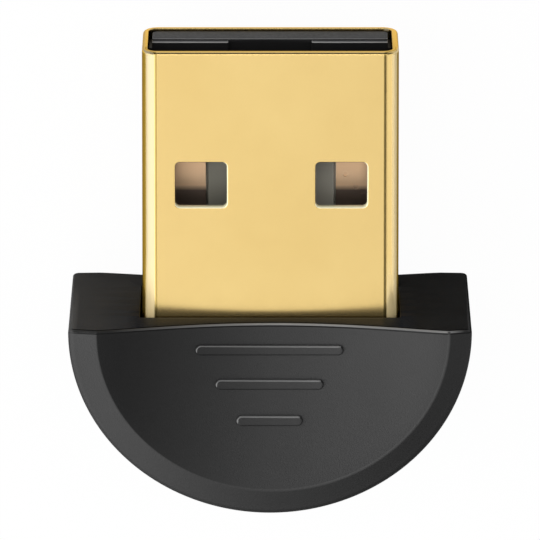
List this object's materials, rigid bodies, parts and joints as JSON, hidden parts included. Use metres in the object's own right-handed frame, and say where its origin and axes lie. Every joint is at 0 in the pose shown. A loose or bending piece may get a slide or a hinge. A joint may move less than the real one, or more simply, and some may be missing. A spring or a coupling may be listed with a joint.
{
  "type": "usb bluetooth adapter",
  "caption": "Short wireless adapter: half-round moulded housing with a dished, ribbed grip on a flat metal data plug, with its circuit board inside",
  "frame": {"origin": "on the plug's axis, in the plane of the housing's shoulder", "axes": "+X across the plug, +Y along the plug and out of its mouth, +Z out of the face that carries the ribs, the part lying on its back"},
  "size_m": [0.0188, 0.0221, 0.0091],
  "materials": {
    "housing_plastic": "black moulded plastic with a fine even grain",
    "gilt_sheet": "folded steel sheet with a satin gold-coloured plating",
    "insulator_plastic": "dark grey moulded insulator",
    "contact_copper": "stamped copper alloy strip, lightly satin",
    "board_laminate": "glass-fibre board under green varnish",
    "chip_epoxy": "black moulded epoxy, no marking",
    "can_metal": "plated metal can",
    "pale_ceramic": "pale fired ceramic",
    "brown_ceramic": "brown fired ceramic with metal ends",
    "dark_ceramic": "dark ceramic with metal ends",
    "solder": "smooth solder fillet"
  },
  "bodies": {
    "root": {"housing": "housing_plastic", "plug_shell": "gilt_sheet", "plug_insulator": "insulator_plastic", "contact_supply": "contact_copper", "contact_data_minus": "contact_copper", "contact_data_plus": "contact_copper", "contact_ground": "contact_copper", "circuit_board": "board_laminate", "radio_chip": "chip_epoxy", "crystal": "can_metal", "chip_antenna": "pale_ceramic", "regulator": "chip_epoxy", "capacitor_1": "brown_ceramic", "capacitor_2": "brown_ceramic", "capacitor_3": "brown_ceramic", "capacitor_4": "brown_ceramic", "capacitor_5": "brown_ceramic", "capacitor_6": "brown_ceramic", "resistor_1": "dark_ceramic", "resistor_2": "dark_ceramic", "resistor_3": "dark_ceramic", "inductor": "dark_ceramic", "contact_solder": "solder", "shell_solder": "solder"}
  },
  "joints": []
}
